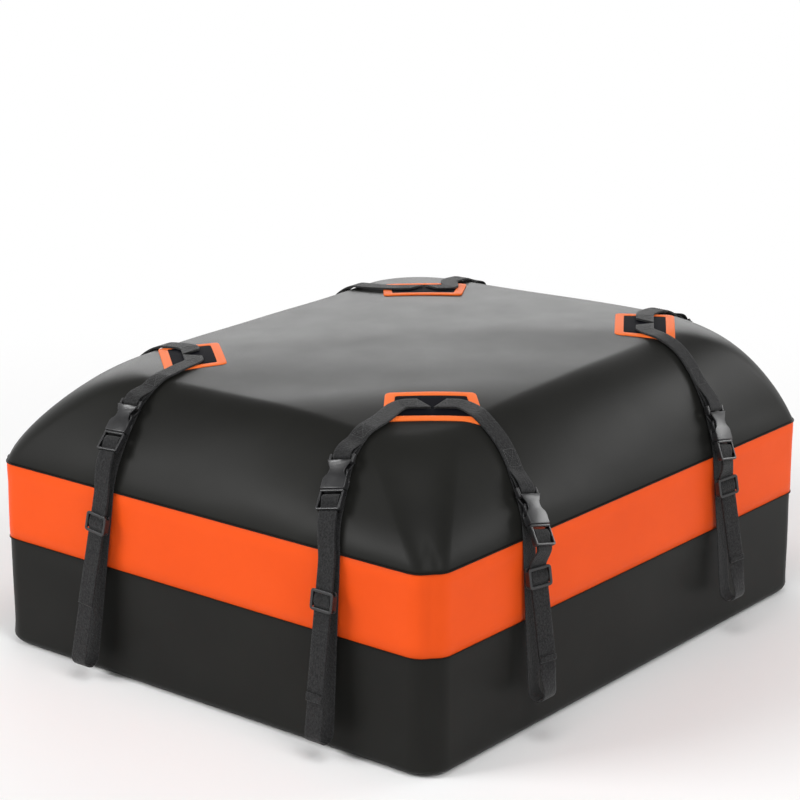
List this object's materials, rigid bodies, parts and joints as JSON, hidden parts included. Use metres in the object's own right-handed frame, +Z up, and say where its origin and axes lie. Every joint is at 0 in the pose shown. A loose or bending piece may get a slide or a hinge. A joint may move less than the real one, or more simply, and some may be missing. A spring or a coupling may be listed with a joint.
{
  "type": "roof cargo bag",
  "caption": "Soft roof cargo bag, packed full: welded black tarpaulin body with an orange band, corner patches, and webbing tie-down straps with side-release buckles.",
  "frame": {"origin": "middle of the flat base, on the surface the bag lies on", "axes": "+X across the bag, towards the side seen at the right; +Y along the bag, towards the zip; +Z up"},
  "size_m": [0.9974, 1.1378, 0.4959],
  "materials": {
    "black_tarpaulin": "smooth coated tarpaulin, satin",
    "orange_tarpaulin": "smooth coated tarpaulin, satin",
    "webbing": "woven polyester webbing, matt",
    "buckle_plastic": "moulded, fine grain",
    "zip": "moulded teeth on coated tape"
  },
  "bodies": {
    "bag": {"bag_body": "black_tarpaulin", "coloured_band": "orange_tarpaulin", "patch_border_near": "orange_tarpaulin", "patch_pad_near": "black_tarpaulin", "patch_border_right": "orange_tarpaulin", "patch_pad_right": "black_tarpaulin", "patch_border_far": "orange_tarpaulin", "patch_pad_far": "black_tarpaulin", "patch_border_left": "orange_tarpaulin", "patch_pad_left": "black_tarpaulin", "fixed_strap_front_1": "webbing", "buckle_socket_front_1": "buckle_plastic", "fixed_strap_front_2": "webbing", "buckle_socket_front_2": "buckle_plastic", "fixed_strap_rear_1": "webbing", "buckle_socket_rear_1": "buckle_plastic", "fixed_strap_rear_2": "webbing", "buckle_socket_rear_2": "buckle_plastic", "fixed_strap_right_1": "webbing", "buckle_socket_right_1": "buckle_plastic", "fixed_strap_right_2": "webbing", "buckle_socket_right_2": "buckle_plastic", "fixed_strap_left_1": "webbing", "buckle_socket_left_1": "buckle_plastic", "fixed_strap_left_2": "webbing", "buckle_socket_left_2": "buckle_plastic", "zip_tape": "zip", "rain_flap": "black_tarpaulin"},
    "plug_front_1": {"buckle_plug_front_1": "buckle_plastic", "loop_strap_front_1": "webbing"},
    "slider_front_1": {"strap_slider_front_1": "buckle_plastic"},
    "plug_front_2": {"buckle_plug_front_2": "buckle_plastic", "loop_strap_front_2": "webbing"},
    "slider_front_2": {"strap_slider_front_2": "buckle_plastic"},
    "plug_rear_1": {"buckle_plug_rear_1": "buckle_plastic", "loop_strap_rear_1": "webbing"},
    "slider_rear_1": {"strap_slider_rear_1": "buckle_plastic"},
    "plug_rear_2": {"buckle_plug_rear_2": "buckle_plastic", "loop_strap_rear_2": "webbing"},
    "slider_rear_2": {"strap_slider_rear_2": "buckle_plastic"},
    "plug_right_1": {"buckle_plug_right_1": "buckle_plastic", "loop_strap_right_1": "webbing"},
    "slider_right_1": {"strap_slider_right_1": "buckle_plastic"},
    "plug_right_2": {"buckle_plug_right_2": "buckle_plastic", "loop_strap_right_2": "webbing"},
    "slider_right_2": {"strap_slider_right_2": "buckle_plastic"},
    "plug_left_1": {"buckle_plug_left_1": "buckle_plastic", "loop_strap_left_1": "webbing"},
    "slider_left_1": {"strap_slider_left_1": "buckle_plastic"},
    "plug_left_2": {"buckle_plug_left_2": "buckle_plastic", "loop_strap_left_2": "webbing"},
    "slider_left_2": {"strap_slider_left_2": "buckle_plastic"},
    "zip_slider": {"zip_slider": "zip"},
    "zip_pull": {"zip_pull": "zip"}
  },
  "joints": [
    {"name": "buckle_release_front_1", "type": "slide", "parent": "bag", "child": "plug_front_1", "axis": [0.2419, -0.6688, -0.703], "range_m": [0, 0.03]},
    {"name": "slider_travel_front_1", "type": "slide", "parent": "plug_front_1", "child": "slider_front_1", "axis": [-0.0075, -0.1325, -0.9911], "range_m": [-0.04, 0.12]},
    {"name": "buckle_release_front_2", "type": "slide", "parent": "bag", "child": "plug_front_2", "axis": [0.0523, -0.6949, -0.7172], "range_m": [0, 0.03]},
    {"name": "slider_travel_front_2", "type": "slide", "parent": "plug_front_2", "child": "slider_front_2", "axis": [-0.1112, -0.1298, -0.9853], "range_m": [-0.04, 0.12]},
    {"name": "buckle_release_rear_1", "type": "slide", "parent": "bag", "child": "plug_rear_1", "axis": [-0.2419, 0.6907, -0.6815], "range_m": [0, 0.03]},
    {"name": "slider_travel_rear_1", "type": "slide", "parent": "plug_rear_1", "child": "slider_rear_1", "axis": [0.0066, 0.1325, -0.9912], "range_m": [-0.04, 0.12]},
    {"name": "buckle_release_rear_2", "type": "slide", "parent": "bag", "child": "plug_rear_2", "axis": [-0.0523, 0.6822, -0.7293], "range_m": [0, 0.03]},
    {"name": "slider_travel_rear_2", "type": "slide", "parent": "plug_rear_2", "child": "slider_rear_2", "axis": [0.1012, 0.13, -0.9863], "range_m": [-0.04, 0.12]},
    {"name": "buckle_release_right_1", "type": "slide", "parent": "bag", "child": "plug_right_1", "axis": [0.5728, -0.2419, -0.7832], "range_m": [0, 0.03]},
    {"name": "slider_travel_right_1", "type": "slide", "parent": "plug_right_1", "child": "slider_right_1", "axis": [0.1545, -0.0147, -0.9879], "range_m": [0, 0.1]},
    {"name": "buckle_release_right_2", "type": "slide", "parent": "bag", "child": "plug_right_2", "axis": [0.4409, -0.1736, -0.8806], "range_m": [0, 0.03]},
    {"name": "slider_travel_right_2", "type": "slide", "parent": "plug_right_2", "child": "slider_right_2", "axis": [0.1536, 0.0529, -0.9867], "range_m": [0, 0.1]},
    {"name": "buckle_release_left_1", "type": "slide", "parent": "bag", "child": "plug_left_1", "axis": [-0.4718, 0.2419, -0.8479], "range_m": [0, 0.03]},
    {"name": "slider_travel_left_1", "type": "slide", "parent": "plug_left_1", "child": "slider_left_1", "axis": [-0.1545, 0.0143, -0.9879], "range_m": [0, 0.1]},
    {"name": "buckle_release_left_2", "type": "slide", "parent": "bag", "child": "plug_left_2", "axis": [-0.5279, 0.1736, -0.8314], "range_m": [0, 0.03]},
    {"name": "slider_travel_left_2", "type": "slide", "parent": "plug_left_2", "child": "slider_left_2", "axis": [-0.1536, -0.0542, -0.9866], "range_m": [0, 0.1]},
    {"name": "zip_travel", "type": "slide", "parent": "bag", "child": "zip_slider", "axis": [1, 0, 0], "range_m": [0, 0.668]},
    {"name": "zip_pull_swing", "type": "hinge", "parent": "zip_slider", "child": "zip_pull", "pos_m": [-0.334, 0.52849, 0.1369], "axis": [1, 0, 0], "range_deg": [0, 95]}
  ]
}
